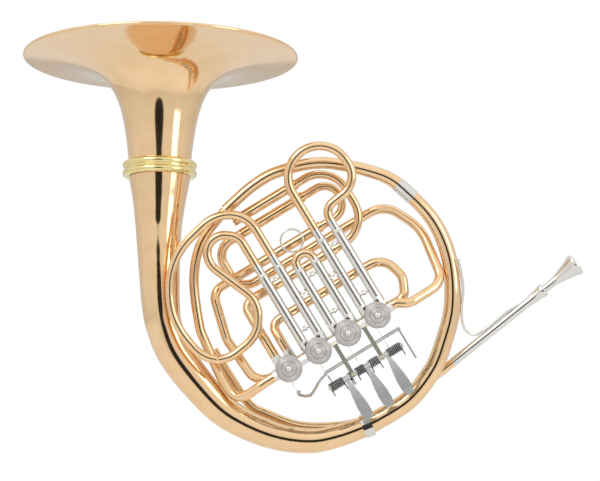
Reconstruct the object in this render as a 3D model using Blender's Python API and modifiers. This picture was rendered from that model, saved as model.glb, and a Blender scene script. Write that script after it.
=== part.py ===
"""A double french horn, built from its separate tubes, valves, slides and levers.

Sizes are in millimetres and become metres in one place, point(). The horn stands as it is
held up: the bell mouth looks up (+Z), the player's side is +Y and the valve caps face -Y.
The origin is the middle of the valve row, where the left hand holds the horn.

Two frames are used. The horn's plane has X to the right and Z up. The valve row's frame is
the same plane turned by ROW_ANGLE: u runs along the row from the change valve, v runs
across it towards the valve slides. Y is the depth in both.
"""
import math

import bmesh
import bpy
import numpy as np
from mathutils import Matrix, Vector

# Valve row
ROW_ANGLE = math.radians(31.25)
VALVE_PITCH = 37.7
CASING_RADIUS = 13.4
CASING_WALL = 1.6
CASING_FRONT = -40.0
CASING_BACK = 10.0
BACK_PLATE = 3.0
CAP_RADIUS = 14.7
CAP_GAP = 0.45
CAP_SKIRT = 5.0
CAP_THICK = 2.6
ROTOR_GAP = 0.4
STEM_RADIUS = 2.6
CASING_SIDES = 16

# Levels of the tubing, front to back
FRONT_LEVEL = -26.0
REAR_LEVEL = -2.0
DIAGONAL_LEVEL = 18.0
F_SLIDE_LEVEL = 29.5
LEADPIPE_LEVEL = 22.7
LOOP_LEVEL = 4.0

# Tubes and slides
TUBE_RADIUS = 5.3
SLEEVE_RADIUS = 5.6
SLEEVE_BORE = 4.95
LEG_RADIUS = 4.55
LEG_PITCH = 20.2
LEG_BOTTOM = 32.0
COLLAR_RADIUS = 5.9
CHANGE_PORT = 7.5
KNUCKLE_FOOT = 5.0
KNUCKLE_TOP = 17.7
FERRULE_WALL = 0.9
FERRULE_LENGTH = 11.0
GAP = 0.3

# Bell
BELL_RADIUS = 155.0
BELL_TILT = math.radians(9.3)
BELL_LENGTH = 118.0
BELL_WALL = 1.0
BELL_X = -193.5
RING_HEIGHT = 190.0
RING_RADIUS = 41.5
RING_LENGTH = 17.0
THROAT_RADIUS = 35.0
RIM_BEAD = 2.0

# Levers
AXLE_V = -42.0
AXLE_Y = -36.0
AXLE_RADIUS = 2.0
ARM_DROP = 6.0
HUB_RADIUS = 3.4
THUMB_V = -25.2
THUMB_Y = -30.5
THUMB_ROD_RADIUS = 1.9
THUMB_ROD = (32.0, 127.0)
THUMB_PLATE_U = 125.0
PIN_RADIUS = 9.0
LEVER_SWING = math.radians(13.5)
PADDLE_LENGTH = 50.0
PADDLE_WIDTH = 15.5
LINK_LEVEL = 18.5
ARM_THICK = 2.6
BALL_RADIUS = 2.8
PIN_CLEARANCE = 0.5

BELL_SIDES = 24
FLARE_OFFSET = 0.06
FLARE_POWER = 0.75
FLARE_STEPS = 8
RING_Y = 26.0

# The wide tube's route and taper: (x, z) in the horn's plane, (share of length, radius)
BRANCH_PLACES = [(-191, 41), (-187, 15), (-172, -20), (-132, -69), (-102, -91), (-63, -107),
                 (-24, -112), (8, -106), (37, -95.5)]
BRANCH_TAPER = [(0, 34.5), (0.06, 29.5), (0.12, 26), (0.2, 23.5), (0.38, 20), (0.5, 19.5),
                (0.75, 15.5), (1, 11.6)]
LOOP_PLACES = [(40, -94.3), (83, -68), (110, -35), (123, -4), (133, 38), (130, 89), (113, 131),
               (83, 164), (53, 184), (-9, 197), (-58, 188), (-88, 172), (-119, 144.5)]
LOOP_TAPER = [(0, 11.2), (0.35, 9.2), (0.55, 7.8), (0.75, 6.6), (1, 6.3)]
FIRST_PLACES = [(-119.6, 144, 4), (-141, 117, 4), (-151, 93, 4), (-154, 61, 4), (-148, 16, 4),
                (-141, -3, 3), (-122, -44, -4), (-109, -60, -10), (-97, -60.5, -18),
                (-84, -52, -25), (-74, -44.9, -26), (-64.75, -39.3, -26)]
FIRST_RADIUS = 5.4
FIRST_RADII = [FIRST_RADIUS * 0.001] * (2 * (len(FIRST_PLACES) - 1) + 1)
LEADPIPE_PLACES = [(172, 4), (121, -37), (100, -52), (76, -72), (48, -88), (8, -97), (-36, -97),
                   (-73, -84), (-93, -73), (-112, -46), (-133, -12)]

# Valve slides: sleeve tops by valve index, and the first slide's looped bow
VALVES = ["change", "3", "2", "1"]
SLEEVE_TOPS = {1: 103.0, 2: 87.0, 3: 103.0}
OMEGA_RADIUS = 34.5
OMEGA_TOP = 196.0
OMEGA_NECK = 14.0

# Tuning slides and the loops behind the valve slides
SLEEVE_START = 30.0
SLEEVE_STOP = 112.0
MAIN_STRUT = 60.0
F_STRUT = 84.0
MAIN_LOW = 85.0
MAIN_HIGH = 170.0
MAIN_REACH = 157.0
F_LOW = 115.0
F_HIGH = 154.0
F_REACH = 147.0
F_LOOP = [(132.6, 0, -26, 0), (138, 0, -26, 5), (150, -8, -26, 20), (195, -8, -6, 22),
          (206, 55, 20, 60), (185, 99.5, 36, 30), (-4, 99.5, 36, 20), (-4, 154, 31, 20),
          (22, 154, 29.5, 10), (29.6, 154, 29.5, 0)]
F_RETURN = [(29.6, 115, 29.5, 0), (22, 115, 29.5, 12), (-30, 115, 13, 16), (-44, 62, 10, 20),
            (-40, 0, -2, 20), (-19.2, 0, -2, 0)]
MAIN_RETURN = [(29.6, 85, 18, 0), (22, 85, 18, 12), (-7.5, 85, 14, 12), (-7.5, 45, -2, 20),
               (-7.5, 18.1, -2, 0)]
B_FLAT_LOOP = [(132.6, 0, -2, 0), (150, -0.5, -2, 12), (160, 20, 2, 20), (152, 49, 11, 22),
               (126, 50.5, 11, 12), (7.5, 50.5, 9, 11), (7.5, 32, -2, 8), (7.5, 18.1, -2, 0)]

# Levers
AXLE_START = 26.0
AXLE_STOP = 120.0
BRACKETS = (56.6, 93.6)
BRACKET_WIDTH = 4.6
LEVERS = [(1, 27.0, 53.6, 48.0), (2, 60.0, 90.4, 74.0), (3, 97.0, 119.0, 99.6)]

SMOOTH_ANGLE = math.radians(40)


def clear_scene():
    """Start from an empty file, without the start-up objects."""
    for thing in list(bpy.data.objects):
        bpy.data.objects.remove(thing, do_unlink=True)


clear_scene()
horn = bpy.data.collections.new("double_french_horn")
bpy.context.scene.collection.children.link(horn)
cutters = bpy.data.collections.new("cutters")
bpy.context.scene.collection.children.link(cutters)


# Frames

def point(x, z, y):
    """A point of the horn's plane at depth y, in metres."""
    return Vector((x, y, z)) * 0.001


def row(u, v, y):
    """A point of the valve row's frame at depth y, in metres."""
    along = u - 1.5 * VALVE_PITCH
    x = along * math.cos(ROW_ANGLE) - v * math.sin(ROW_ANGLE)
    z = along * math.sin(ROW_ANGLE) + v * math.cos(ROW_ANGLE)
    return point(x, z, y)


def row_frame(u, v, y):
    """The matrix whose X runs along the row, Z across it, and Y into the horn."""
    turn = Matrix.Rotation(-ROW_ANGLE, 4, "Y")
    return Matrix.Translation(row(u, v, y)) @ turn


def valve_u(index):
    """Where a valve's axis stands along the row: 0 is the change valve."""
    return index * VALVE_PITCH


# Materials

def finish(name, colour, roughness, metallic):
    material = bpy.data.materials.new(name)
    material.use_nodes = True
    shader = material.node_tree.nodes["Principled BSDF"]
    shader.inputs["Base Color"].default_value = (*colour, 1.0)
    shader.inputs["Roughness"].default_value = roughness
    shader.inputs["Metallic"].default_value = metallic
    return material


FINISHES = {
    "gold_brass": ((0.80, 0.53, 0.27), 0.16, 1.0),
    "yellow_brass": ((0.82, 0.70, 0.36), 0.18, 1.0),
    "nickel_silver": ((0.66, 0.64, 0.60), 0.22, 1.0),
    "brushed_nickel": ((0.44, 0.42, 0.40), 0.38, 1.0),
    "matte_nickel": ((0.52, 0.54, 0.52), 0.48, 1.0),
    "dark_steel": ((0.08, 0.08, 0.07), 0.35, 1.0),
    "rotor_bronze": ((0.55, 0.40, 0.22), 0.30, 1.0),
}


def dress(thing, kind):
    """Give a finished object its own material, smooth shading and its collection."""
    thing.data.materials.clear()
    thing.data.materials.append(finish(f"{thing.name}_{kind}", *FINISHES[kind]))
    thing.data.shade_smooth()
    thing.data.set_sharp_from_angle(angle=SMOOTH_ANGLE)
    return thing


# Routes: straight runs joined by round bends, as a tube maker lays them out

def rounded(corners, step=math.radians(15)):
    """Points along a polyline whose corners are rounded.

    Each corner is (point, radius). A bend gets a point for each step of its turn.
    """
    places = [Vector(place) for place, radius in corners]
    route = [places[0]]
    for index in range(1, len(corners) - 1):
        before, here, after = places[index - 1:index + 2]
        coming = (here - before).normalized()
        going = (after - here).normalized()
        turn = coming.angle(going)
        radius = corners[index][1] * 0.001
        if turn < 0.01 or radius == 0:
            route.append(here)
            continue
        setback = radius * math.tan(turn / 2)
        axis = coming.cross(going).normalized()
        inward = axis.cross(coming)
        start = here - coming * setback
        centre = start + inward * radius
        steps = max(2, round(turn / step))
        for number in range(steps + 1):
            spin = Matrix.Rotation(turn * number / steps, 3, axis)
            route.append(centre + spin @ (start - centre))
    route.append(places[-1])
    return route


def lengths(route):
    """How far along the route each point lies."""
    total = [0.0]
    for before, after in zip(route, route[1:]):
        total.append(total[-1] + (after - before).length)
    return total


def tapered(route, sizes):
    """Radii in metres along a route, from a list of (share of its length, radius in mm)."""
    along = np.array(lengths(route))
    shares = [share for share, radius in sizes]
    radii = [radius * 0.001 for share, radius in sizes]
    return np.interp(along / along[-1], shares, radii)


def swept(name, route, radii, sides=8):
    """A round tube along a route, with closed ends, made as a curve and turned to a mesh."""
    curve = bpy.data.curves.new(name, "CURVE")
    curve.dimensions = "3D"
    curve.twist_mode = "MINIMUM"
    curve.bevel_depth = 1.0
    curve.bevel_resolution = max(0, (sides - 4) // 2)
    curve.use_fill_caps = True
    spline = curve.splines.new("POLY")
    spline.points.add(len(route) - 1)
    for knot, place, radius in zip(spline.points, route, radii):
        knot.co = (*place, 1.0)
        knot.radius = radius
    maker = bpy.data.objects.new(name + "_curve", curve)
    cutters.objects.link(maker)
    depsgraph = bpy.context.evaluated_depsgraph_get()
    mesh = bpy.data.meshes.new_from_object(maker.evaluated_get(depsgraph))
    place = maker.matrix_world.copy()
    bpy.data.objects.remove(maker)
    thing = bpy.data.objects.new(name, mesh)
    thing.matrix_world = place
    welded(mesh)
    horn.objects.link(thing)
    return thing


def welded(mesh):
    """Close the seams of a mesh made from a curve and face it outwards."""
    work = bmesh.new()
    work.from_mesh(mesh)
    bmesh.ops.remove_doubles(work, verts=work.verts, dist=1e-6)
    bmesh.ops.recalc_face_normals(work, faces=work.faces)
    work.to_mesh(mesh)
    work.free()


def tube(name, corners, radius=TUBE_RADIUS, sides=8, step=math.radians(26)):
    """A tube of one radius along rounded corners."""
    route = rounded(corners, step)
    return swept(name, route, [radius * 0.001] * len(route), sides)


# Turned and cut pieces

def turned(name, profile, sides=16):
    """A closed profile of (radius, height) in mm turned about the local Z axis.

    The profile runs down its outer side, top to bottom.
    """
    mesh = bpy.data.meshes.new(name)
    work = bmesh.new()
    corners = [work.verts.new((radius * 0.001, 0, height * 0.001)) for radius, height in profile]
    closed = profile[0][0] > 0 or profile[-1][0] > 0
    for before, after in zip(corners, corners[1:]):
        work.edges.new((before, after))
    if closed:
        work.edges.new((corners[-1], corners[0]))
    work.to_mesh(mesh)
    work.free()
    thing = bpy.data.objects.new(name, mesh)
    horn.objects.link(thing)
    screw = thing.modifiers.new("turn", "SCREW")
    screw.steps = sides
    screw.render_steps = sides
    screw.use_merge_vertices = True
    screw.merge_threshold = 0.0000005
    screw.use_normal_calculate = False
    return baked(thing)


def baked(thing):
    """Replace an object's mesh by what its modifiers make of it."""
    depsgraph = bpy.context.evaluated_depsgraph_get()
    mesh = bpy.data.meshes.new_from_object(thing.evaluated_get(depsgraph))
    thing.modifiers.clear()
    thing.data = mesh
    welded(mesh)
    return thing


def cylinder(name, radius, length, sides=16):
    """A cylinder along the local Z axis, centred on its origin."""
    mesh = bpy.data.meshes.new(name)
    work = bmesh.new()
    bmesh.ops.create_cone(work, cap_ends=True, segments=sides, radius1=radius * 0.001,
                          radius2=radius * 0.001, depth=length * 0.001)
    work.to_mesh(mesh)
    work.free()
    thing = bpy.data.objects.new(name, mesh)
    horn.objects.link(thing)
    return thing


def block(name, width, depth, height):
    """A box centred on its origin."""
    mesh = bpy.data.meshes.new(name)
    work = bmesh.new()
    bmesh.ops.create_cube(work, size=0.001)
    bmesh.ops.scale(work, vec=(width, depth, height), verts=work.verts)
    work.to_mesh(mesh)
    work.free()
    thing = bpy.data.objects.new(name, mesh)
    horn.objects.link(thing)
    return thing


def ball(name, radius, centre):
    """A small sphere."""
    mesh = bpy.data.meshes.new(name)
    work = bmesh.new()
    bmesh.ops.create_uvsphere(work, u_segments=8, v_segments=6, radius=radius * 0.001)
    work.to_mesh(mesh)
    work.free()
    thing = bpy.data.objects.new(name, mesh)
    thing.location = centre
    horn.objects.link(thing)
    return thing


def aimed(thing, centre, direction):
    """Place an object with its local Z along a direction."""
    turn = Vector((0, 0, 1)).rotation_difference(Vector(direction)).to_matrix().to_4x4()
    thing.matrix_world = Matrix.Translation(centre) @ turn
    return thing


def fixed(thing):
    """Move an object's place into its mesh, so that it sits at the world's origin."""
    bpy.context.view_layer.update()
    thing.data.transform(thing.matrix_world)
    thing.matrix_world = Matrix.Identity(4)
    return thing


def combined(target, others, operation):
    """Join or cut a mesh by others, which are used up."""
    fixed(target)
    for other in others:
        fixed(other)
        cut = target.modifiers.new(operation.lower(), "BOOLEAN")
        cut.operation = operation
        cut.solver = "EXACT"
        cut.object = other
        baked(target)
        bpy.data.objects.remove(other)
    return target


def joined(target, others):
    return combined(target, others, "UNION")


def cut(target, others):
    return combined(target, others, "DIFFERENCE")


def pivoted(thing, origin):
    """Put a moving piece's origin on its joint's axis."""
    fixed(thing)
    thing.data.transform(Matrix.Translation(-origin))
    thing.location = origin
    return thing


# Directions of the valve row's frame

ALONG = (row(1000, 0, 0) - row(0, 0, 0))
ACROSS = (row(0, 1000, 0) - row(0, 0, 0))
INWARD = Vector((0, 1, 0))


# Bell and its branch

BELL_AXIS = Vector((0, math.sin(BELL_TILT), math.cos(BELL_TILT)))
RING_CENTRE = point(BELL_X, RING_HEIGHT, RING_Y)


def flare_share(left):
    """Share of the flare's spread reached when a share of its height is still to go."""
    bottom = (1 + FLARE_OFFSET) ** -FLARE_POWER
    top = FLARE_OFFSET ** -FLARE_POWER
    return ((left + FLARE_OFFSET) ** -FLARE_POWER - bottom) / (top - bottom)


def bell_flare():
    """A thin flare whose slope grows towards the mouth, with a rolled rim."""
    outer = []
    for number in range(FLARE_STEPS + 1):
        share = number / FLARE_STEPS
        height = RING_LENGTH / 2 + GAP + share * BELL_LENGTH
        spread = BELL_RADIUS - RIM_BEAD - THROAT_RADIUS
        outer.append((THROAT_RADIUS + spread * flare_share(1 - share), height))
    top = outer[-1][1]
    bead = [(BELL_RADIUS - RIM_BEAD, top + 2 * RIM_BEAD), (BELL_RADIUS, top + RIM_BEAD)]
    inner = [(radius - BELL_WALL, height + BELL_WALL) for radius, height in outer[1:]]
    inner = [(THROAT_RADIUS - BELL_WALL, outer[0][1])] + inner
    flare = turned("bell_flare", bead + outer[::-1] + inner, BELL_SIDES)
    aimed(flare, RING_CENTRE, BELL_AXIS)
    return dress(pivoted(flare, RING_CENTRE), "gold_brass")


def bell_ring():
    """The screw ring that holds the flare: two beads with a groove between them."""
    half = RING_LENGTH / 2
    inside = THROAT_RADIUS - BELL_WALL
    profile = [(inside, half), (RING_RADIUS - 2, half), (RING_RADIUS, half - 2), (RING_RADIUS, 2),
               (RING_RADIUS - 2, 0), (RING_RADIUS, -2), (RING_RADIUS, 2 - half),
               (RING_RADIUS - 2, -half), (inside, -half)]
    ring = turned("bell_screw_ring", profile, BELL_SIDES)
    aimed(ring, RING_CENTRE, BELL_AXIS)
    return dress(pivoted(ring, RING_CENTRE), "yellow_brass")


def smooth(places, parts=3):
    """A smooth route through places, by Catmull and Rom's rule."""
    knots = [places[0]] + places + [places[-1]]
    route = []
    for index in range(1, len(knots) - 2):
        before, here, after, beyond = knots[index - 1:index + 3]
        for number in range(parts):
            t = number / parts
            route.append(0.5 * (2 * here + (after - before) * t
                                + (2 * before - 5 * here + 4 * after - beyond) * t * t
                                + (3 * here - before - 3 * after + beyond) * t ** 3))
    route.append(places[-1])
    return route


def bell_branch():
    """The throat and the wide bottom bow, open at the ring."""
    top = RING_CENTRE - BELL_AXIS * (RING_LENGTH / 2 + GAP) * 0.001
    places = [top, top - BELL_AXIS * 0.015, point(-194, 130, 16), point(-193.5, 100, 10.5)]
    places += [point(-192.5, 70, 6.5)]
    places += [point(x, z, LOOP_LEVEL) for x, z in BRANCH_PLACES]
    route = smooth(places, 2)
    radii = tapered(route, BRANCH_TAPER)
    branch = swept("bell_branch", route, radii, 14)
    bore = swept("throat_bore", [top + BELL_AXIS * 0.004] + route[:6],
                 [radii[0] - 0.0012] + [radius - 0.0012 for radius in radii[:6]], 14)
    return dress(cut(branch, [bore]), "gold_brass")


def outer_loop():
    """The outer loop, from the bell branch round the right side and over the top."""
    places = [point(x, z, LOOP_LEVEL) for x, z in LOOP_PLACES]
    route = smooth(places, 2)
    return dress(swept("outer_loop", route, tapered(route, LOOP_TAPER), 10), "gold_brass")


def first_branch():
    """The narrow first branch, from the outer loop down the left side to the change valve."""
    places = [point(x, z, y) for x, z, y in FIRST_PLACES]
    return dress(swept("first_branch", smooth(places, 2), FIRST_RADII, 8), "gold_brass")


def ferrule(name, place, direction, radius):
    """A short nickel sleeve over the seam of two tubes."""
    half = FERRULE_LENGTH / 2
    profile = [(radius + FERRULE_WALL, half), (radius + FERRULE_WALL, -half), (radius, -half),
               (radius, half)]
    sleeve = turned(name, profile, 14)
    aimed(sleeve, place, direction)
    return dress(fixed(sleeve), "nickel_silver")


def ferrules():
    seam = point(38.5, -94.9, LOOP_LEVEL)
    ferrule("branch_ferrule", seam, point(29, 11.5, 0), 12.6)


# Valves

def casing(index):
    """A double height valve casing, open at the front, with its collars."""
    middle = (CASING_FRONT + CASING_BACK) / 2
    length = CASING_BACK - CASING_FRONT
    body = cylinder(f"valve_casing_{VALVES[index]}", CASING_RADIUS, length, CASING_SIDES)
    aimed(body, row(valve_u(index), 0, middle), INWARD)
    collars = []
    for level in (FRONT_LEVEL, REAR_LEVEL):
        reach = VALVE_PITCH - GAP
        collar = cylinder("collar", COLLAR_RADIUS, reach, 8)
        aimed(collar, row(valve_u(index), 0, level), ALONG)
        collars.append(collar)
    level = FRONT_LEVEL if index else REAR_LEVEL
    offset = LEG_PITCH / 2 if index else CHANGE_PORT
    for side in (-1, 1):
        knuckle = cylinder("knuckle", SLEEVE_RADIUS, KNUCKLE_TOP - KNUCKLE_FOOT, 8)
        middle_v = (KNUCKLE_TOP + KNUCKLE_FOOT) / 2
        aimed(knuckle, row(valve_u(index) + side * offset, middle_v, level), ACROSS)
        collars.append(knuckle)
    bore = cylinder("bore", CASING_RADIUS - CASING_WALL, length, CASING_SIDES)
    aimed(bore, row(valve_u(index), 0, middle - BACK_PLATE), INWARD)
    hole = cylinder("stem_hole", STEM_RADIUS + GAP, BACK_PLATE * 4, 12)
    aimed(hole, row(valve_u(index), 0, CASING_BACK), INWARD)
    return dress(cut(joined(body, collars), [bore, hole]), "nickel_silver")


def cap(index):
    """The valve's screw cap, with ring grooves and a domed middle."""
    profile = [(0, 1.6), (3.2, 1.2), (4.0, 0), (8.0, 0), (8.4, -0.4), (8.8, 0), (CAP_RADIUS - 0.8, 0),
               (CAP_RADIUS, -0.8), (CAP_RADIUS, -CAP_THICK - CAP_SKIRT),
               (CASING_RADIUS + CAP_GAP, -CAP_THICK - CAP_SKIRT), (CASING_RADIUS + CAP_GAP, -CAP_THICK),
               (0, -CAP_THICK)]
    lid = turned(f"valve_cap_{VALVES[index]}", profile, CASING_SIDES)
    front = CASING_FRONT - GAP - CAP_THICK
    aimed(lid, row(valve_u(index), 0, front), -INWARD)
    return dress(fixed(lid), "brushed_nickel")


def rotor(index):
    """The rotor with its stem; each level has two scooped passages."""
    radius = CASING_RADIUS - CASING_WALL - ROTOR_GAP
    start = CASING_FRONT + GAP
    stop = CASING_BACK - BACK_PLATE - ROTOR_GAP
    axis = valve_u(index)
    body = cylinder(f"rotor_{VALVES[index]}", radius, stop - start, 16)
    aimed(body, row(axis, 0, (start + stop) / 2), INWARD)
    tip = CASING_BACK + 2 * ARM_THICK
    stem = cylinder("stem", STEM_RADIUS, tip - stop + 4, 12)
    aimed(stem, row(axis, 0, (tip + stop) / 2 - 2), INWARD)
    scoops = []
    for level in (FRONT_LEVEL, REAR_LEVEL):
        for side in (-1, 1):
            scoop = cylinder("scoop", SLEEVE_BORE - 0.4, 40, 8)
            aimed(scoop, row(axis, side * (radius - 1.0), level), ALONG)
            scoops.append(scoop)
    turning = cut(joined(body, [stem]), scoops)
    return dress(pivoted(turning, row(axis, 0, 0)), "rotor_bronze")


def stop_arm(index):
    """The arm on the stem that a lever turns, with its pin."""
    axis = valve_u(index)
    middle = CASING_BACK + GAP + ARM_THICK / 2
    hub = cylinder(f"stop_arm_{VALVES[index]}", 5.2, ARM_THICK, 14)
    aimed(hub, row(axis, 0, middle), INWARD)
    pin_place = (axis - PIN_RADIUS * math.sqrt(0.5), -PIN_RADIUS * math.sqrt(0.5))
    arm = swept("arm", [row(axis, 0, middle), row(*pin_place, middle)], [0.0012, 0.0012], 8)
    pin_end = LINK_LEVEL - BALL_RADIUS - PIN_CLEARANCE
    pin_start = middle - ARM_THICK / 2
    pin = cylinder("pin", 1.5, pin_end - pin_start, 8)
    aimed(pin, row(*pin_place, (pin_start + pin_end) / 2), INWARD)
    hole = cylinder("hole", STEM_RADIUS + GAP, ARM_THICK * 3, 12)
    aimed(hole, row(axis, 0, middle), INWARD)
    arm_piece = cut(joined(hub, [arm, pin]), [hole])
    return dress(pivoted(arm_piece, row(axis, 0, middle)), "nickel_silver")


# Valve slides

def sleeve_pair(index, top):
    """The two outer tubes of a valve slide, tied by a brace."""
    name = f"slide_sleeves_{VALVES[index]}"
    height = top - LEG_BOTTOM + 14
    tubes = []
    for side in (-1, 1):
        profile = [(SLEEVE_RADIUS, height / 2), (SLEEVE_RADIUS, -height / 2),
                   (SLEEVE_BORE, -height / 2), (SLEEVE_BORE, height / 2)]
        sleeve = turned(name if side < 0 else "sleeve", profile, 12)
        middle = top - height / 2
        aimed(sleeve, row(valve_u(index) + side * LEG_PITCH / 2, middle, FRONT_LEVEL), ACROSS)
        tubes.append(sleeve)
    length = LEG_PITCH - 2 * SLEEVE_BORE - 0.8
    brace = cylinder("brace", 1.6, length, 8)
    aimed(brace, row(valve_u(index), top - 12, FRONT_LEVEL), ALONG)
    foot = cylinder("foot", 1.6, length, 8)
    aimed(foot, row(valve_u(index), LEG_BOTTOM - 4, FRONT_LEVEL), ALONG)
    return dress(joined(tubes[0], [tubes[1], brace, foot]), "nickel_silver")


def crook_corners(index, top):
    """The corners of each slide's bow, between its two straight legs."""
    left = valve_u(index) - LEG_PITCH / 2
    right = valve_u(index) + LEG_PITCH / 2
    if index == 2:
        bow = [((left, top + LEG_PITCH / 2 + 3), LEG_PITCH / 2 - 0.05),
               ((right, top + LEG_PITCH / 2 + 3), LEG_PITCH / 2 - 0.05)]
    elif index == 3:
        reach = left + 2 * OMEGA_RADIUS
        bow = [((left, OMEGA_TOP), OMEGA_RADIUS - 0.1), ((reach, OMEGA_TOP), OMEGA_RADIUS - 0.1),
               ((reach, OMEGA_TOP - 2 * OMEGA_RADIUS + 8), OMEGA_RADIUS - 9),
               ((right, OMEGA_TOP - 2 * OMEGA_RADIUS + 2), OMEGA_NECK)]
    else:
        bow = [((left, 152), 18), ((0, 173), 19), ((-17, 145), 24), ((9, 80), 32), ((-10.5, 48), 37),
               ((-52, 42.5), 36), ((-75, 56.5), 37), ((-84.5, 113), 80), ((-49, 171.5), 76),
               ((16, 186), 43), ((right, 169), 34)]
    return bow


def valve_slide(index, top):
    """The inner legs and bow that pull out of a valve's sleeves."""
    left = valve_u(index) - LEG_PITCH / 2
    right = valve_u(index) + LEG_PITCH / 2
    corners = [(row(left, LEG_BOTTOM, FRONT_LEVEL), 0)]
    for (u, v), radius in crook_corners(index, top):
        corners.append((row(u, v, FRONT_LEVEL), radius))
    corners.append((row(right, LEG_BOTTOM, FRONT_LEVEL), 0))
    slide = tube(f"valve_slide_{VALVES[index]}", corners, LEG_RADIUS, 8)
    return dress(pivoted(slide, row(valve_u(index), top, FRONT_LEVEL)), "gold_brass")


# Tuning slides and fixed loops

def tuning_slide(name, low, high, reach, radius, depth):
    """A bow whose two legs slide along the row, out of the fixed tubes."""
    corners = [(row(SLEEVE_START + 2, high, depth), 0),
               (row(reach, high, depth), radius),
               (row(reach, low, depth), radius),
               (row(SLEEVE_START + 2, low, depth), 0)]
    slide = tube(name, corners, LEG_RADIUS, 8)
    return dress(pivoted(slide, row(SLEEVE_START, (low + high) / 2, depth)), "gold_brass")


def tuning_sleeves(name, low, high, strut_u, depth):
    """The two fixed sleeves of a tuning slide, tied by a strut."""
    length = SLEEVE_STOP - SLEEVE_START
    tubes = []
    for level in (low, high):
        profile = [(SLEEVE_RADIUS, length / 2), (SLEEVE_RADIUS, -length / 2),
                   (SLEEVE_BORE, -length / 2), (SLEEVE_BORE, length / 2)]
        sleeve = turned(name if level == low else "sleeve", profile, 12)
        aimed(sleeve, row((SLEEVE_START + SLEEVE_STOP) / 2, level, depth), ALONG)
        tubes.append(sleeve)
    seat = depth - SLEEVE_BORE - 0.2
    front = depth - SLEEVE_RADIUS - 2.0
    ends = [row(strut_u, low, seat), row(strut_u, low, front), row(strut_u, high, front),
            row(strut_u, high, seat)]
    strut = swept("strut", ends, [0.0011] * 4, 6)
    return dress(joined(tubes[0], [tubes[1], strut]), "nickel_silver")


def plain_tube(name, places, radius=TUBE_RADIUS, finish_name="gold_brass", sides=8):
    """A fixed tube along rounded corners given as (u, v, y, bend radius)."""
    corners = [(row(u, v, y), bend) for u, v, y, bend in places]
    return dress(tube(name, corners, radius, sides), finish_name)


# Leadpipe and mouthpiece

PIPE_DIRECTION = (point(230.8, 50.7, 0) - point(120.9, -36.8, 0)).normalized()
RECEIVER_PLACE = point(222.0, 43.7, LEADPIPE_LEVEL)


def leadpipe():
    places = [RECEIVER_PLACE - PIPE_DIRECTION * 0.0003]
    places += [point(x, z, LEADPIPE_LEVEL) for x, z in LEADPIPE_PLACES]
    route = smooth(places, 2)
    return dress(swept("leadpipe", route, tapered(route, [(0, 4.2), (0.4, 5.2), (1, 5.2)]), 8),
                 "nickel_silver")


def receiver():
    """The collar that takes the mouthpiece's shank."""
    profile = [(6.6, 20), (7.4, 19), (7.4, 14), (6.2, 12), (5.6, 0), (0, 0), (0, 1.5), (4.4, 1.5),
               (5.0, 20)]
    collar = turned("mouthpiece_receiver", profile, 16)
    aimed(collar, RECEIVER_PLACE, PIPE_DIRECTION)
    return dress(fixed(collar), "nickel_silver")


def mouthpiece():
    """A funnel cup with a flat rim, a backbore and a tapered shank."""
    profile = [(9.0, 66), (12.2, 65.4), (12.6, 63.5), (11.2, 60), (7.0, 44), (4.6, 34), (4.4, 22),
               (4.0, 2.2), (2.6, 2.2), (2.2, 26), (2.6, 38), (8.4, 62)]
    cup = turned("mouthpiece", profile, 16)
    aimed(cup, RECEIVER_PLACE, PIPE_DIRECTION)
    return dress(pivoted(cup, RECEIVER_PLACE), "nickel_silver")


# Levers

def lever_frame():
    """The axle of the finger levers on its two bracket plates."""
    rod = cylinder("lever_axle", AXLE_RADIUS, AXLE_STOP - AXLE_START, 12)
    aimed(rod, row((AXLE_START + AXLE_STOP) / 2, AXLE_V, AXLE_Y), ALONG)
    plates = []
    for middle in BRACKETS:
        height = -COLLAR_RADIUS - GAP - AXLE_V + 3
        plate = block("plate", BRACKET_WIDTH, 3.0, height)
        plate.matrix_world = row_frame(middle, AXLE_V - 3 + height / 2, AXLE_Y + 1.5)
        foot = block("foot", BRACKET_WIDTH, 12.0, 3.0)
        foot.matrix_world = row_frame(middle, -COLLAR_RADIUS - GAP - 1.5, AXLE_Y + 6.0)
        plates += [plate, foot]
    return dress(joined(rod, plates), "matte_nickel")


def paddle(start, stop_v, width, u):
    """A finger plate that widens towards its tip and dips towards the horn."""
    sections = 6
    work = bmesh.new()
    rings = []
    for number in range(sections + 1):
        share = number / sections
        half = (3.0 + (width - 6.0) * min(1.0, share * 1.6) ** 0.8) / 2
        if number == sections:
            half *= 0.75
        v = start + (stop_v - start) * share
        y = AXLE_Y - 1.0 - 12.0 * share + 7.0 * share * share
        ring = [work.verts.new(row(u + across * half, v, y + lift))
                for across, lift in ((-1, -0.9), (1, -0.9), (1, 0.9), (-1, 0.9))]
        rings.append(ring)
    for before, after in zip(rings, rings[1:]):
        for number in range(4):
            following = (number + 1) % 4
            work.faces.new((before[number], before[following], after[following], after[number]))
    work.faces.new(rings[0][::-1])
    work.faces.new(rings[-1])
    bmesh.ops.recalc_face_normals(work, faces=work.faces)
    mesh = bpy.data.meshes.new("paddle")
    work.to_mesh(mesh)
    work.free()
    thing = bpy.data.objects.new("paddle", mesh)
    horn.objects.link(thing)
    return thing


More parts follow.
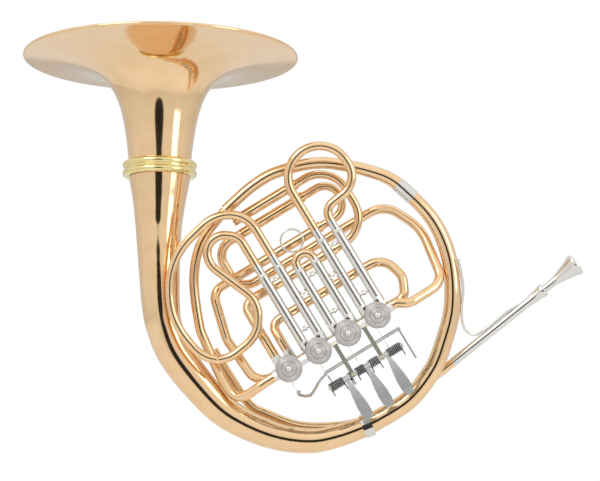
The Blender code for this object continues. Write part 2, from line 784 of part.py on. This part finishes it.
def finger_lever(index, hub_start, hub_stop, paddle_u):
    """A lever that turns on the axle: hub, finger plate and the arm behind the hub."""
    name = f"lever_{VALVES[index]}"
    hub = cylinder(name, HUB_RADIUS, hub_stop - hub_start, 12)
    aimed(hub, row((hub_start + hub_stop) / 2, AXLE_V, AXLE_Y), ALONG)
    plate = paddle(AXLE_V - HUB_RADIUS + 1.4, AXLE_V - PADDLE_LENGTH, PADDLE_WIDTH, paddle_u)
    arm_u = valve_u(index) - PIN_RADIUS * math.sqrt(0.5)
    arm = swept("arm", [row(arm_u, AXLE_V - 1, AXLE_Y + 2.6), row(arm_u, AXLE_V - 3, -10),
                        row(arm_u, AXLE_V - ARM_DROP, LINK_LEVEL - 3.6)], [0.0017] * 3, 6)
    bore = cylinder("bore", AXLE_RADIUS + GAP, 60, 12)
    aimed(bore, row((hub_start + hub_stop) / 2, AXLE_V, AXLE_Y), ALONG)
    lever = cut(joined(hub, [plate, arm]), [bore])
    return dress(pivoted(lever, row(arm_u, AXLE_V, AXLE_Y)), "matte_nickel")


def thumb_lever():
    """The rod that turns in front of the brackets, with its crank and thumb plate."""
    start, stop = THUMB_ROD
    rod = cylinder("lever_thumb", THUMB_ROD_RADIUS, stop - start, 10)
    aimed(rod, row((start + stop) / 2, THUMB_V, THUMB_Y), ALONG)
    plate = block("thumb_plate", 1.8, 14.0, 38.0)
    plate.matrix_world = row_frame(THUMB_PLATE_U, THUMB_V - 18.0, THUMB_Y + 1.0)
    arm_u = valve_u(0) - PIN_RADIUS * math.sqrt(0.5)
    end = THUMB_V - ARM_DROP
    route = smooth([row(start + 1, THUMB_V, THUMB_Y), row(20, THUMB_V - 5, THUMB_Y + 2),
                    row(4, THUMB_V - 14, -8), row(arm_u, end - 2, 4),
                    row(arm_u, end, LINK_LEVEL - 3.6)], 2)
    crank = swept("crank", route, [0.0017] * len(route), 6)
    lever = joined(rod, [plate, crank])
    return dress(pivoted(lever, row(start, THUMB_V, THUMB_Y)), "matte_nickel")


def link(index):
    """The push rod from a lever's arm to its stop arm, with a ball at each end."""
    arm_u = valve_u(index) - PIN_RADIUS * math.sqrt(0.5)
    low = (AXLE_V if index else THUMB_V) - ARM_DROP
    high = -PIN_RADIUS * math.sqrt(0.5)
    rod = swept(f"link_{VALVES[index]}", [row(arm_u, low, LINK_LEVEL), row(arm_u, high, LINK_LEVEL)],
                [0.0012, 0.0012], 6)
    ends = [ball("end", BALL_RADIUS, row(arm_u, low, LINK_LEVEL)),
            ball("end", BALL_RADIUS, row(arm_u, high, LINK_LEVEL))]
    return dress(pivoted(joined(rod, ends), row(arm_u, low, LINK_LEVEL)), "nickel_silver")


def build():
    bell_flare()
    bell_ring()
    bell_branch()
    outer_loop()
    first_branch()
    for index in range(4):
        casing(index)
        cap(index)
        rotor(index)
        stop_arm(index)
    for index, top in SLEEVE_TOPS.items():
        sleeve_pair(index, top)
        valve_slide(index, top)
    tuning_sleeves("main_slide_sleeves", MAIN_LOW, MAIN_HIGH, MAIN_STRUT, DIAGONAL_LEVEL)
    tuning_slide("main_tuning_slide", MAIN_LOW, MAIN_HIGH, MAIN_REACH, 34, DIAGONAL_LEVEL)
    tuning_sleeves("f_slide_sleeves", F_LOW, F_HIGH, F_STRUT, F_SLIDE_LEVEL)
    tuning_slide("f_tuning_slide", F_LOW, F_HIGH, F_REACH, 18, F_SLIDE_LEVEL)
    plain_tube("f_loop", F_LOOP)
    plain_tube("f_return", F_RETURN)
    plain_tube("main_return", MAIN_RETURN)
    ferrules()
    plain_tube("b_flat_loop", B_FLAT_LOOP)
    leadpipe()
    receiver()
    mouthpiece()
    lever_frame()
    for index, hub_start, hub_stop, paddle_u in LEVERS:
        finger_lever(index, hub_start, hub_stop, paddle_u)
        link(index)
    thumb_lever()
    link(0)


build()
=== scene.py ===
"""The looks of the double french horn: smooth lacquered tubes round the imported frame."""
import math

import bpy
import bmesh
from mathutils import Matrix, Vector


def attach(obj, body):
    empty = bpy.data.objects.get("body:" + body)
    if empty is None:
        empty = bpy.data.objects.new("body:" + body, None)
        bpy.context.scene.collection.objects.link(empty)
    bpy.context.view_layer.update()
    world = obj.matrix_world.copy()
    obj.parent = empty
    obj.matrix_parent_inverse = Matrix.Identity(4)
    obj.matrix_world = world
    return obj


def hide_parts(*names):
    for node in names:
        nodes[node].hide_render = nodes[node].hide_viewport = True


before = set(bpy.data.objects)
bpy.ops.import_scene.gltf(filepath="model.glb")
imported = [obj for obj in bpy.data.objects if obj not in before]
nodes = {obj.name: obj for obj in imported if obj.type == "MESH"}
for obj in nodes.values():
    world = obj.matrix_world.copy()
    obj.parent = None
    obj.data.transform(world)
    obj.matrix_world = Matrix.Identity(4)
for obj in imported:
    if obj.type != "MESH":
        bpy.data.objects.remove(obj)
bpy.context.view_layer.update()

# Sizes that the looks share with the frame, in millimetres.
# The valve row's frame has u along the row from the change valve and v across it.
ROW_ANGLE = math.radians(31.25)
PITCH = 37.7
FRONT, DIAGONAL, F_DEPTH, LOOP, PIPE = -26.0, 18.0, 29.5, 4.0, 22.7
TUBE, LEG, LEG_GAP = 5.3, 4.7, 20.2
SIDES = 28


# Places

def point(x, z, y):
    return Vector((x, y, z)) * 0.001


def row(u, v, y):
    along = u - 1.5 * PITCH
    x = along * math.cos(ROW_ANGLE) - v * math.sin(ROW_ANGLE)
    z = along * math.sin(ROW_ANGLE) + v * math.cos(ROW_ANGLE)
    return point(x, z, y)


ALONG = row(1000, 0, 0) - row(0, 0, 0)
ACROSS = row(0, 1000, 0) - row(0, 0, 0)
TOWARDS = Vector((0, -1, 0))


# Shader maths through sockets that add, multiply and take powers.
class Sock:
    def __init__(self, tree, out):
        self.tree = tree
        self.out = out

    def maths(self, kind, other=None):
        node = self.tree.nodes.new("ShaderNodeMath")
        node.operation = kind
        self.tree.links.new(self.out, node.inputs[0])
        if isinstance(other, Sock):
            self.tree.links.new(other.out, node.inputs[1])
        elif other is not None:
            node.inputs[1].default_value = other
        return Sock(self.tree, node.outputs[0])

    def __add__(self, other):
        return self.maths("ADD", other)

    def __sub__(self, other):
        return self.maths("SUBTRACT", other)

    def __mul__(self, other):
        return self.maths("MULTIPLY", other)

    def __pow__(self, other):
        return self.maths("POWER", other)


class Maker:
    """Adds nodes to one material or world."""
    def __init__(self, owner):
        owner.use_nodes = True
        self.tree = owner.node_tree

    def node(self, kind, **values):
        made = self.tree.nodes.new(kind)
        for name, value in values.items():
            target = made.inputs[name.replace("_", " ")]
            if isinstance(value, Sock):
                self.tree.links.new(value.out, target)
            else:
                target.default_value = value
        return made

    def sock(self, node, name):
        return Sock(self.tree, node.outputs[name])


def metal(name, dark, light, rough, ripple=0.0, stretch=(1, 1, 1), coat=0.0, scale=60.0):
    """A metal whose colour and polish drift a little over the surface."""
    material = bpy.data.materials.new(name)
    make = Maker(material)
    shader = make.tree.nodes["Principled BSDF"]
    place = make.sock(make.node("ShaderNodeTexCoord"), "Object")
    mapped = make.sock(make.node("ShaderNodeMapping", Vector=place, Scale=stretch), "Vector")
    drift = make.sock(make.node("ShaderNodeTexNoise", Vector=mapped, Scale=scale, Detail=3.0), "Fac")
    fine = make.sock(make.node("ShaderNodeTexNoise", Vector=mapped, Scale=scale * 14, Detail=2.0), "Fac")
    blend = make.tree.nodes.new("ShaderNodeMix")
    blend.data_type = "RGBA"
    blend.inputs["A"].default_value = (*dark, 1)
    blend.inputs["B"].default_value = (*light, 1)
    make.tree.links.new(drift.out, blend.inputs["Factor"])
    make.tree.links.new(blend.outputs["Result"], shader.inputs["Base Color"])
    polish = (fine - 0.5) * (rough * 0.5) + rough
    make.tree.links.new(polish.out, shader.inputs["Roughness"])
    shader.inputs["Metallic"].default_value = 1.0
    shader.inputs["Coat Weight"].default_value = coat
    shader.inputs["Coat Roughness"].default_value = 0.05
    if ripple:
        bump = make.node("ShaderNodeBump", Strength=ripple, Distance=0.0002, Height=fine)
        make.tree.links.new(bump.outputs["Normal"], shader.inputs["Normal"])
    return material


def engraved(name, centre, axis_scale=1.0):
    """Brushed nickel with fine rings about a valve's axis."""
    material = metal(name, (0.46, 0.43, 0.42), (0.60, 0.57, 0.55), 0.42, ripple=0.25, scale=90.0)
    make = Maker(material)
    shader = make.tree.nodes["Principled BSDF"]
    place = make.sock(make.node("ShaderNodeTexCoord"), "Object")
    shifted = make.node("ShaderNodeVectorMath")
    shifted.operation = "SUBTRACT"
    make.tree.links.new(place.out, shifted.inputs[0])
    shifted.inputs[1].default_value = centre
    flat = make.node("ShaderNodeVectorMath")
    flat.operation = "MULTIPLY"
    make.tree.links.new(shifted.outputs[0], flat.inputs[0])
    flat.inputs[1].default_value = (1, 0, 1)
    length = make.node("ShaderNodeVectorMath")
    length.operation = "LENGTH"
    make.tree.links.new(flat.outputs[0], length.inputs[0])
    rings = (make.sock(length, "Value") * 5200.0).maths("SINE")
    bump = make.node("ShaderNodeBump", Strength=0.5, Distance=0.0003, Height=rings)
    make.tree.links.new(bump.outputs["Normal"], shader.inputs["Normal"])
    return material


GOLD = metal("gold_lacquer", (0.80, 0.52, 0.27), (0.90, 0.66, 0.40), 0.10, coat=0.25)
YELLOW = metal("yellow_brass", (0.76, 0.62, 0.26), (0.88, 0.76, 0.40), 0.14, coat=0.2)
NICKEL = metal("nickel_silver", (0.66, 0.64, 0.60), (0.78, 0.76, 0.71), 0.13)
SATIN = metal("satin_nickel", (0.48, 0.50, 0.48), (0.60, 0.62, 0.60), 0.40, ripple=0.15)
BRACKET = metal("bracket_nickel", (0.46, 0.45, 0.35), (0.60, 0.58, 0.47), 0.34, ripple=0.1)
STEEL = metal("blued_steel", (0.05, 0.05, 0.045), (0.13, 0.13, 0.12), 0.30)
BRONZE = metal("rotor_bronze", (0.42, 0.28, 0.13), (0.58, 0.42, 0.22), 0.26, ripple=0.1)


# Shaping: sweeps along routes and turned profiles, both closed or open as the real walls are.

def keep(name, mesh, material, body):
    thing = bpy.data.objects.new(name, mesh)
    bpy.context.scene.collection.objects.link(thing)
    mesh.materials.clear()
    mesh.materials.append(material)
    mesh.shade_smooth()
    mesh.set_sharp_from_angle(angle=math.radians(38))
    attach(thing, body)
    return thing


def rounded(corners, step=math.radians(4)):
    """A route of straight runs whose corners, each (place, radius), are arcs."""
    places = [place for place, radius in corners]
    route = [places[0]]
    for index in range(1, len(corners) - 1):
        before, here, after = places[index - 1:index + 2]
        coming, going = (here - before).normalized(), (after - here).normalized()
        turn = coming.angle(going)
        radius = corners[index][1] * 0.001
        if turn < 0.01 or radius == 0:
            route.append(here)
            continue
        axis = coming.cross(going).normalized()
        start = here - coming * radius * math.tan(turn / 2)
        centre = start + axis.cross(coming) * radius
        steps = max(2, round(turn / step))
        for number in range(steps + 1):
            route.append(centre + Matrix.Rotation(turn * number / steps, 3, axis) @ (start - centre))
    route.append(places[-1])
    return route


def smooth(places, parts=10):
    """A route through places by Catmull and Rom's rule."""
    knots = [places[0]] + places + [places[-1]]
    route = []
    for index in range(1, len(knots) - 2):
        before, here, after, beyond = knots[index - 1:index + 3]
        for number in range(parts):
            t = number / parts
            route.append(0.5 * (2 * here + (after - before) * t
                                + (2 * before - 5 * here + 4 * after - beyond) * t * t
                                + (3 * here - before - 3 * after + beyond) * t ** 3))
    return route + [places[-1]]


def spread(route, sizes):
    """Radii along a route from (share of its length, radius in mm)."""
    total = [0.0]
    for before, after in zip(route, route[1:]):
        total.append(total[-1] + (after - before).length)
    radii = []
    for distance in total:
        share = distance / total[-1]
        for (low, first), (high, second) in zip(sizes, sizes[1:]):
            if share <= high + 1e-6:
                radii.append(first + (second - first) * (share - low) / (high - low))
                break
    return radii


def sweep(name, route, radii, material, body, sides=SIDES):
    """A round tube along a route, with closed ends; its radii are in millimetres."""
    work = bmesh.new()
    tangent = (route[1] - route[0]).normalized()
    side = tangent.orthogonal().normalized()
    rings = []
    for index, place in enumerate(route):
        ahead = route[min(index + 1, len(route) - 1)] - route[max(index - 1, 0)]
        heading = ahead.normalized()
        side = (side - heading * side.dot(heading)).normalized()
        other = heading.cross(side)
        radius = radii[index] * 0.001
        ring = []
        for number in range(sides):
            turn = 2 * math.pi * number / sides
            ring.append(work.verts.new(place + (side * math.cos(turn) + other * math.sin(turn)) * radius))
        rings.append(ring)
    for before, after in zip(rings, rings[1:]):
        for number in range(sides):
            following = (number + 1) % sides
            work.faces.new((before[number], before[following], after[following], after[number]))
    work.faces.new(rings[0][::-1])
    work.faces.new(rings[-1])
    mesh = bpy.data.meshes.new(name)
    work.to_mesh(mesh)
    work.free()
    return keep(name, mesh, material, body)


def pipe(name, corners, material, body, radius=TUBE, sides=SIDES):
    route = rounded(corners)
    return sweep(name, route, [radius] * len(route), material, body, sides)


def turn(name, profile, centre, axis, material, body, sides=96, closed=True):
    """A profile of (radius, height) in millimetres turned about an axis."""
    work = bmesh.new()
    rows = []
    for radius, height in profile:
        rows.append([work.verts.new((radius * math.cos(2 * math.pi * n / sides) * 0.001,
                                     radius * math.sin(2 * math.pi * n / sides) * 0.001,
                                     height * 0.001)) for n in range(sides)])
    pairs = list(zip(rows, rows[1:]))
    if closed:
        pairs.append((rows[-1], rows[0]))
    for before, after in pairs:
        for number in range(sides):
            following = (number + 1) % sides
            work.faces.new((before[number], after[number], after[following], before[following]))
    bmesh.ops.remove_doubles(work, verts=work.verts, dist=1e-7)
    bmesh.ops.dissolve_degenerate(work, edges=work.edges, dist=1e-8)
    bmesh.ops.recalc_face_normals(work, faces=work.faces)
    mesh = bpy.data.meshes.new(name)
    work.to_mesh(mesh)
    work.free()
    spin = Vector((0, 0, 1)).rotation_difference(Vector(axis)).to_matrix().to_4x4()
    mesh.transform(Matrix.Translation(centre) @ spin)
    return keep(name, mesh, material, body)


# The bell: spun gold brass with a rolled rim, on a beaded yellow brass screw ring.
# Both are turned about the bell's tilted axis.
TILT = math.radians(9.3)
BELL_AXIS = Vector((0, math.sin(TILT), math.cos(TILT)))
RING_CENTRE = point(-193.5, 190, 26)
BELL_LOW, BELL_HIGH, THROAT, RIM, BEAD = 8.8, 126.8, 35.0, 155.0, 2.0
OFFSET, POWER = 0.06, 0.75


def flare_radius(share):
    bottom, top = (1 + OFFSET) ** -POWER, OFFSET ** -POWER
    spreading = ((1 - share + OFFSET) ** -POWER - bottom) / (top - bottom)
    return THROAT + (RIM - BEAD - THROAT) * spreading


outer = [(flare_radius((n / 60) ** 0.6), BELL_LOW + (BELL_HIGH - BELL_LOW) * (n / 60) ** 0.6)
         for n in range(61)]
bead = [(RIM - BEAD + BEAD * math.cos(math.radians(a)), BELL_HIGH + BEAD + BEAD * math.sin(math.radians(a)))
        for a in range(-90, 181, 15)]
inner = [(radius - 1.0, height + 1.0) for radius, height in outer[::-1]]
flare = turn("bell_flare_smooth", outer + bead[1:] + inner, RING_CENTRE, BELL_AXIS, GOLD, "bell", 160)
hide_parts("bell_flare")
ring_profile = [(34, 8.5), (39, 8.5)]
for middle in (4.6, -4.6):
    ring_profile += [(39 + 2.6 * math.cos(math.radians(a)), middle + 3.6 * math.sin(math.radians(a)))
                     for a in range(80, -81, -16)]
ring_profile += [(39, -8.5), (34, -8.5)]
ring = turn("bell_ring_smooth", ring_profile, RING_CENTRE, BELL_AXIS, YELLOW, "bell", 128)
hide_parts("bell_screw_ring")

# The wide branch, the outer loop and the narrow first branch: one tapered run of gold brass
# from the ring, round the horn and down the left side to the change valve.
top = RING_CENTRE - BELL_AXIS * 0.0088
branch_places = [top, top - BELL_AXIS * 0.015, point(-194, 130, 16), point(-193.5, 100, 10.5),
                 point(-192.5, 70, 6.5)]
branch_places += [point(x, z, LOOP) for x, z in (
    (-191, 41), (-187, 15), (-172, -20), (-132, -69), (-102, -91), (-63, -107), (-24, -112),
    (8, -106), (37, -95.5))]
route = smooth(branch_places)
taper = [(0, 34.5), (0.06, 29.5), (0.12, 26), (0.2, 23.5), (0.38, 20), (0.5, 19.5), (0.75, 15.5), (1, 11.6)]
branch = sweep("bell_branch_smooth", route, spread(route, taper), GOLD, "horn_body", 64)
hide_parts("bell_branch")
route = smooth([point(x, z, LOOP) for x, z in (
    (40, -94.3), (83, -68), (110, -35), (123, -4), (133, 38), (130, 89), (113, 131), (83, 164),
    (53, 184), (-9, 197), (-58, 188), (-88, 172), (-119, 144.5))])
taper = [(0, 11.2), (0.35, 9.2), (0.55, 7.8), (0.75, 6.6), (1, 6.3)]
loop = sweep("outer_loop_smooth", route, spread(route, taper), GOLD, "horn_body", 40)
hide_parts("outer_loop")
collar = sweep("loop_ferrule", route[68:75], [radius + 0.7 for radius in spread(route, taper)[68:75]],
               NICKEL, "horn_body", 40)
route = smooth([point(*place) for place in (
    (-119.6, 144, 4), (-141, 117, 4), (-151, 93, 4), (-154, 61, 4), (-148, 16, 4), (-141, -3, 3),
    (-122, -44, -4), (-109, -60, -10), (-97, -60.5, -18), (-84, -52, -25), (-74, -44.9, -26),
    (-64.75, -39.3, -26))])
first = sweep("first_branch_smooth", route, [5.4] * len(route), GOLD, "horn_body")
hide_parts("first_branch")

# The valve slides: nickel sleeves, nickel inner legs and gold brass bows.
# The bows are routes of straight runs and arcs in the valve row's frame.
TOPS = {1: 103.0, 2: 87.0, 3: 103.0}
NAMES = ["change", "3", "2", "1"]
OMEGA, OMEGA_TOP, NECK = 34.5, 196.0, 14.0
for index, height in TOPS.items():
    left, right = index * PITCH - LEG_GAP / 2, index * PITCH + LEG_GAP / 2
    if index == 2:
        bow = [((left, height + 13.1), 10.05), ((right, height + 13.1), 10.05)]
    elif index == 3:
        reach = left + 2 * OMEGA
        bow = [((left, OMEGA_TOP), OMEGA - 0.1), ((reach, OMEGA_TOP), OMEGA - 0.1),
               ((reach, OMEGA_TOP - 2 * OMEGA + 8), OMEGA - 9),
               ((right, OMEGA_TOP - 2 * OMEGA + 2), NECK)]
    else:
        bow = [((left, 152), 18), ((0, 173), 19), ((-17, 145), 24), ((9, 80), 32), ((-10.5, 48), 37),
               ((-52, 42.5), 36), ((-75, 56.5), 37), ((-84.5, 113), 80), ((-49, 171.5), 76),
               ((16, 186), 43), ((right, 169), 34)]
    body = f"slide_{NAMES[index]}"
    show = height + (4 if index == 2 else 12)
    corners = [(row(left, show, FRONT), 0)] + [(row(u, v, FRONT), r) for (u, v), r in bow]
    corners.append((row(right, show, FRONT), 0))
    crook = pipe(f"crook_{NAMES[index]}", corners, GOLD, body, LEG + 0.25)
    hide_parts(f"valve_slide_{NAMES[index]}")
    for side, u in (("left", left), ("right", right)):
        pipe(f"leg_{NAMES[index]}_{side}", [(row(u, 32, FRONT), 0), (row(u, show + 0.5, FRONT), 0)],
             NICKEL, body, LEG - 0.1)
        sleeve = turn(f"sleeve_{NAMES[index]}_{side}",
                      [(5.5, 18), (5.5, height - 5), (6.0, height - 4.6), (6.0, height - 0.4),
                       (5.7, height), (4.95, height), (4.95, 18)],
                      row(u, 0, FRONT), ACROSS, NICKEL, "horn_body", 40)
        if side == "left":
            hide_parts(f"slide_sleeves_{NAMES[index]}")
    for place, size in ((height - 12, 2.0), (28, 1.6)):
        pipe(f"brace_{NAMES[index]}_{place:.0f}", [(row(left + 5, place, FRONT), 0),
             (row(right - 5, place, FRONT), 0)], NICKEL, "horn_body", size, 16)
        turn(f"brace_bead_{NAMES[index]}_{place:.0f}", [(0.01, -2.6), (2.2, -1.9), (3.0, 0), (2.2, 1.9), (0.01, 2.6)],
             row((left + right) / 2, place, FRONT), ALONG, NICKEL, "horn_body", 24, False)

# Diamond-footed braces between neighbouring sleeves, which the frame leaves out.
for index, place in ((1, 62), (2, 62)):
    start, stop = index * PITCH + LEG_GAP / 2 + 5, (index + 1) * PITCH - LEG_GAP / 2 - 5
    pipe(f"cross_brace_{index}", [(row(start, place, FRONT), 0), (row(stop, place, FRONT), 0)],
         NICKEL, "horn_body", 1.6, 16)
    for u in (start + 0.6, stop - 0.6):
        turn(f"cross_foot_{index}_{u:.0f}", [(0.01, -1.2), (4.0, -0.8), (4.0, 0.8), (0.01, 1.2)],
             row(u, place, FRONT), ALONG, NICKEL, "horn_body", 4, False)

# The wire pull ring on the second slide's bow.
ring_route = [row(2 * PITCH + 12.4 * math.sin(a), 115.2 + 12.4 * (1 - math.cos(a)) - 9.6, FRONT)
              for a in (2 * math.pi * n / 48 for n in range(49))]
sweep("pull_ring", ring_route, [1.1] * 49, NICKEL, "slide_2", 12)

# The tuning slides and the fixed loops behind the valve slides: gold brass tubes.
# Gold brass sleeves hold the two tuning slides.
def behind(name, places, node, body="horn_body", radius=TUBE):
    made = pipe(name, [(row(u, v, y), bend) for u, v, y, bend in places], GOLD, body, radius)
    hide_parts(node)


behind("main_bow", [(32, 170, 18, 0), (157, 170, 18, 34), (157, 85, 18, 34), (32, 85, 18, 0)],
       "main_tuning_slide", "main_slide", LEG)
behind("f_bow", [(32, 154, 29.5, 0), (147, 154, 29.5, 18), (147, 115, 29.5, 18), (32, 115, 29.5, 0)],
       "f_tuning_slide", "f_slide", LEG)
behind("f_loop_smooth", [(132.6, 0, -26, 0), (138, 0, -26, 5), (150, -8, -26, 20), (195, -8, -6, 22),
       (206, 55, 20, 60), (185, 99.5, 36, 30), (-4, 99.5, 36, 20), (-4, 154, 31, 20),
       (22, 154, 29.5, 10), (29.6, 154, 29.5, 0)], "f_loop")
behind("f_return_smooth", [(29.6, 115, 29.5, 0), (22, 115, 29.5, 12), (-30, 115, 13, 16),
       (-44, 62, 10, 20), (-40, 0, -2, 20), (-19.2, 0, -2, 0)], "f_return")
behind("main_return_smooth", [(29.6, 85, 18, 0), (22, 85, 18, 12), (-7.5, 85, 14, 12),
       (-7.5, 45, -2, 20), (-7.5, 18.1, -2, 0)], "main_return")
behind("b_flat_smooth", [(132.6, 0, -2, 0), (150, -0.5, -2, 12), (160, 20, 2, 20), (152, 49, 11, 22),
       (126, 50.5, 11, 12), (7.5, 50.5, 9, 11), (7.5, 32, -2, 8), (7.5, 18.1, -2, 0)], "b_flat_loop")
for name, level in (("main", 85), ("main", 170), ("f", 115), ("f", 154)):
    sleeve = turn(f"{name}_sleeve_{level}", [(5.6, 30), (5.6, 108), (6.1, 108.5), (6.1, 112), (4.95, 112), (4.95, 30)],
                  row(0, level, DIAGONAL if name == "main" else F_DEPTH), ALONG, GOLD, "horn_body", 40)
    if level in (85, 115):
        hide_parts(f"{name}_slide_sleeves")

# The valve caps: engraved, brushed nickel discs round a polished dome.
for index, name in enumerate(NAMES):
    centre = row(index * PITCH, 0, -42.9)
    profile = [(0.01, 1.9), (1.6, 1.7), (3.0, 1.0), (3.6, 0.2), (4.2, 0), (8.0, 0), (8.3, -0.3),
               (8.6, 0), (13.6, 0), (14.3, -0.3), (14.7, -1.0), (14.7, -7.6), (13.9, -7.6), (13.9, -2.6),
               (0.01, -2.6)]
    made = turn(f"cap_{name}_smooth", profile, centre, TOWARDS, engraved(f"engraved_{name}", centre),
                "horn_body", 96, False)
    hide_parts(f"valve_cap_{name}")
    turn(f"cap_dome_{name}", [(0.01, 2.4), (1.5, 2.2), (2.7, 1.5), (3.3, 0.5), (3.4, 0.1)], centre, TOWARDS,
         NICKEL, "horn_body", 48, False)

# The leadpipe, its receiver and the mouthpiece: nickel silver.
heading = (point(230.8, 50.7, 0) - point(120.9, -36.8, 0)).normalized()
seat = point(222.0, 43.7, PIPE)
route = smooth([seat - heading * 0.0003] + [point(x, z, PIPE) for x, z in (
    (172, 4), (121, -37), (100, -52), (76, -72), (48, -88), (8, -97), (-36, -97), (-73, -84),
    (-93, -73), (-112, -46), (-133, -12))])
lead = sweep("leadpipe_smooth", route, spread(route, [(0, 4.2), (0.4, 5.2), (1, 5.2)]), GOLD, "horn_body")
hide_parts("leadpipe")
pipe("leadpipe_sleeve", [(seat - heading * 0.001, 0), (point(135, -25.7, PIPE), 0)], NICKEL, "horn_body", 5.0)
made = turn("receiver_smooth", [(6.4, 20), (7.2, 19.4), (7.4, 18), (7.4, 15), (7.0, 14), (6.2, 12),
            (5.6, 0), (0.01, 0), (0.01, 1.5), (4.6, 1.5), (5.0, 20)], seat, heading, NICKEL, "horn_body", 48)
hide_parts("mouthpiece_receiver")
made = turn("mouthpiece_smooth", [(9.0, 66), (10.6, 66.2), (12.0, 65.6), (12.6, 64.2), (12.4, 62.4),
            (11.2, 59.5), (9.2, 53), (7.2, 45), (5.6, 39), (4.7, 34), (4.4, 22), (4.0, 2.2), (2.6, 2.2),
            (2.2, 26), (2.6, 38), (5.0, 50), (8.4, 62)], seat, heading, NICKEL, "mouthpiece_body", 64)
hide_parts("mouthpiece")
hook = smooth([point(x, z, y) for x, z, y in ((139, 90, -5), (144.7, 60, 0), (143.5, 32, 6), (147, 13, 12),
               (157, 5.6, 17), (168, 9, 19), (190, 27, 19), (208, 38, 20))])
sweep("finger_hook", hook, [1.5] * len(hook), NICKEL, "horn_body", 14)

# The action's dark coil springs, wound round the lever hubs.
for number, (start, stop) in enumerate(((28, 44), (52, 54), (61, 71), (78, 89), (101, 117))):
    turns = max(1, round((stop - start) / 1.7))
    coil = []
    for step in range(turns * 16 + 1):
        angle = 2 * math.pi * step / 16
        u = start + (stop - start) * step / (turns * 16)
        coil.append(row(u, -42 + 4.6 * math.cos(angle), -36 + 4.6 * math.sin(angle)))
    tail = [row(start, -52, -38)]
    route = tail + coil + [row(stop, -53, -38)]
    sweep(f"lever_spring_{number}", route, [0.62] * len(route), STEEL, "horn_body", 8)

# Nodes carried over from the frame get their finishes.
FINISHES = {"valve_casing": NICKEL, "rotor": BRONZE, "stop_arm": NICKEL, "lever_axle": BRACKET,
            "lever_": SATIN, "link": NICKEL, "branch_ferrule": NICKEL}
for name, thing in nodes.items():
    for start, material in FINISHES.items():
        if name.startswith(start) and not (start == "lever_" and name == "lever_axle"):
            thing.data.materials.clear()
            thing.data.materials.append(material)

# The studio: a pale floor out of view and broad soft light from all round.
# A dark patch about the camera gives each tube its thin black line.
floor_mesh = bpy.data.meshes.new("floor")
floor_mesh.from_pydata([(-2, -2, -0.5), (2, -2, -0.5), (2, 2, -0.5), (-2, 2, -0.5)], [], [(0, 1, 2, 3)])
floor = bpy.data.objects.new("floor", floor_mesh)
bpy.context.scene.collection.objects.link(floor)
pale = bpy.data.materials.new("pale_floor")
make = Maker(pale)
grain = make.sock(make.node("ShaderNodeTexNoise", Scale=40.0), "Fac")
make.tree.links.new((grain * 0.04 + 0.8).out, make.tree.nodes["Principled BSDF"].inputs["Base Color"])
floor_mesh.materials.append(pale)

world = bpy.data.worlds.new("studio")
bpy.context.scene.world = world
make = Maker(world)
coordinates = make.node("ShaderNodeTexCoord")
split = make.node("ShaderNodeSeparateXYZ")
make.tree.links.new(coordinates.outputs["Generated"], split.inputs[0])
forward = make.sock(split, "Y") * -1.0
up = make.sock(split, "Z")
dark = (forward - 0.972).maths("GREATER_THAN", 0.0)
glow = (up * 0.28 + 0.86) * ((dark * -0.97) + 1.0)
back = (make.sock(split, "Y").maths("MAXIMUM", 0.0)) * -0.25 + 1.0
glow = glow * back
rays = make.node("ShaderNodeLightPath")
camera_ray = make.sock(rays, "Is Camera Ray")
strength = glow + camera_ray * ((glow * -1.0) + 1.0)
background = make.tree.nodes["Background"]
background.inputs["Color"].default_value = (1.0, 1.0, 1.0, 1.0)
make.tree.links.new(strength.out, background.inputs["Strength"])


def lamp(name, place, size, power):
    light = bpy.data.lights.new(name, "AREA")
    light.shape = "RECTANGLE"
    light.size, light.size_y = size
    light.energy = power
    thing = bpy.data.objects.new(name, light)
    thing.location = place
    thing.rotation_euler = (Vector((0, 0, 0.1)) - Vector(place)).to_track_quat("-Z", "Y").to_euler()
    bpy.context.scene.collection.objects.link(thing)


lamp("key", (-1.1, -1.2, 1.5), (1.0, 0.7), 9.0)
lamp("fill", (1.4, -1.0, 0.6), (0.7, 1.1), 5.0)

# The camera stands where the photograph's did.
CAMERA_DISTANCE, FRAME_WIDTH = 2.4, 0.666
camera = bpy.data.objects.new("camera", bpy.data.cameras.new("camera"))
camera.location = (-0.0362, -CAMERA_DISTANCE, 0.1107)
camera.rotation_euler = (math.radians(90), 0, 0)
camera.data.sensor_width = 36.0
camera.data.lens = 36.0 * CAMERA_DISTANCE / FRAME_WIDTH
bpy.context.scene.collection.objects.link(camera)
bpy.context.scene.camera = camera
bpy.context.scene.view_settings.view_transform = "Standard"
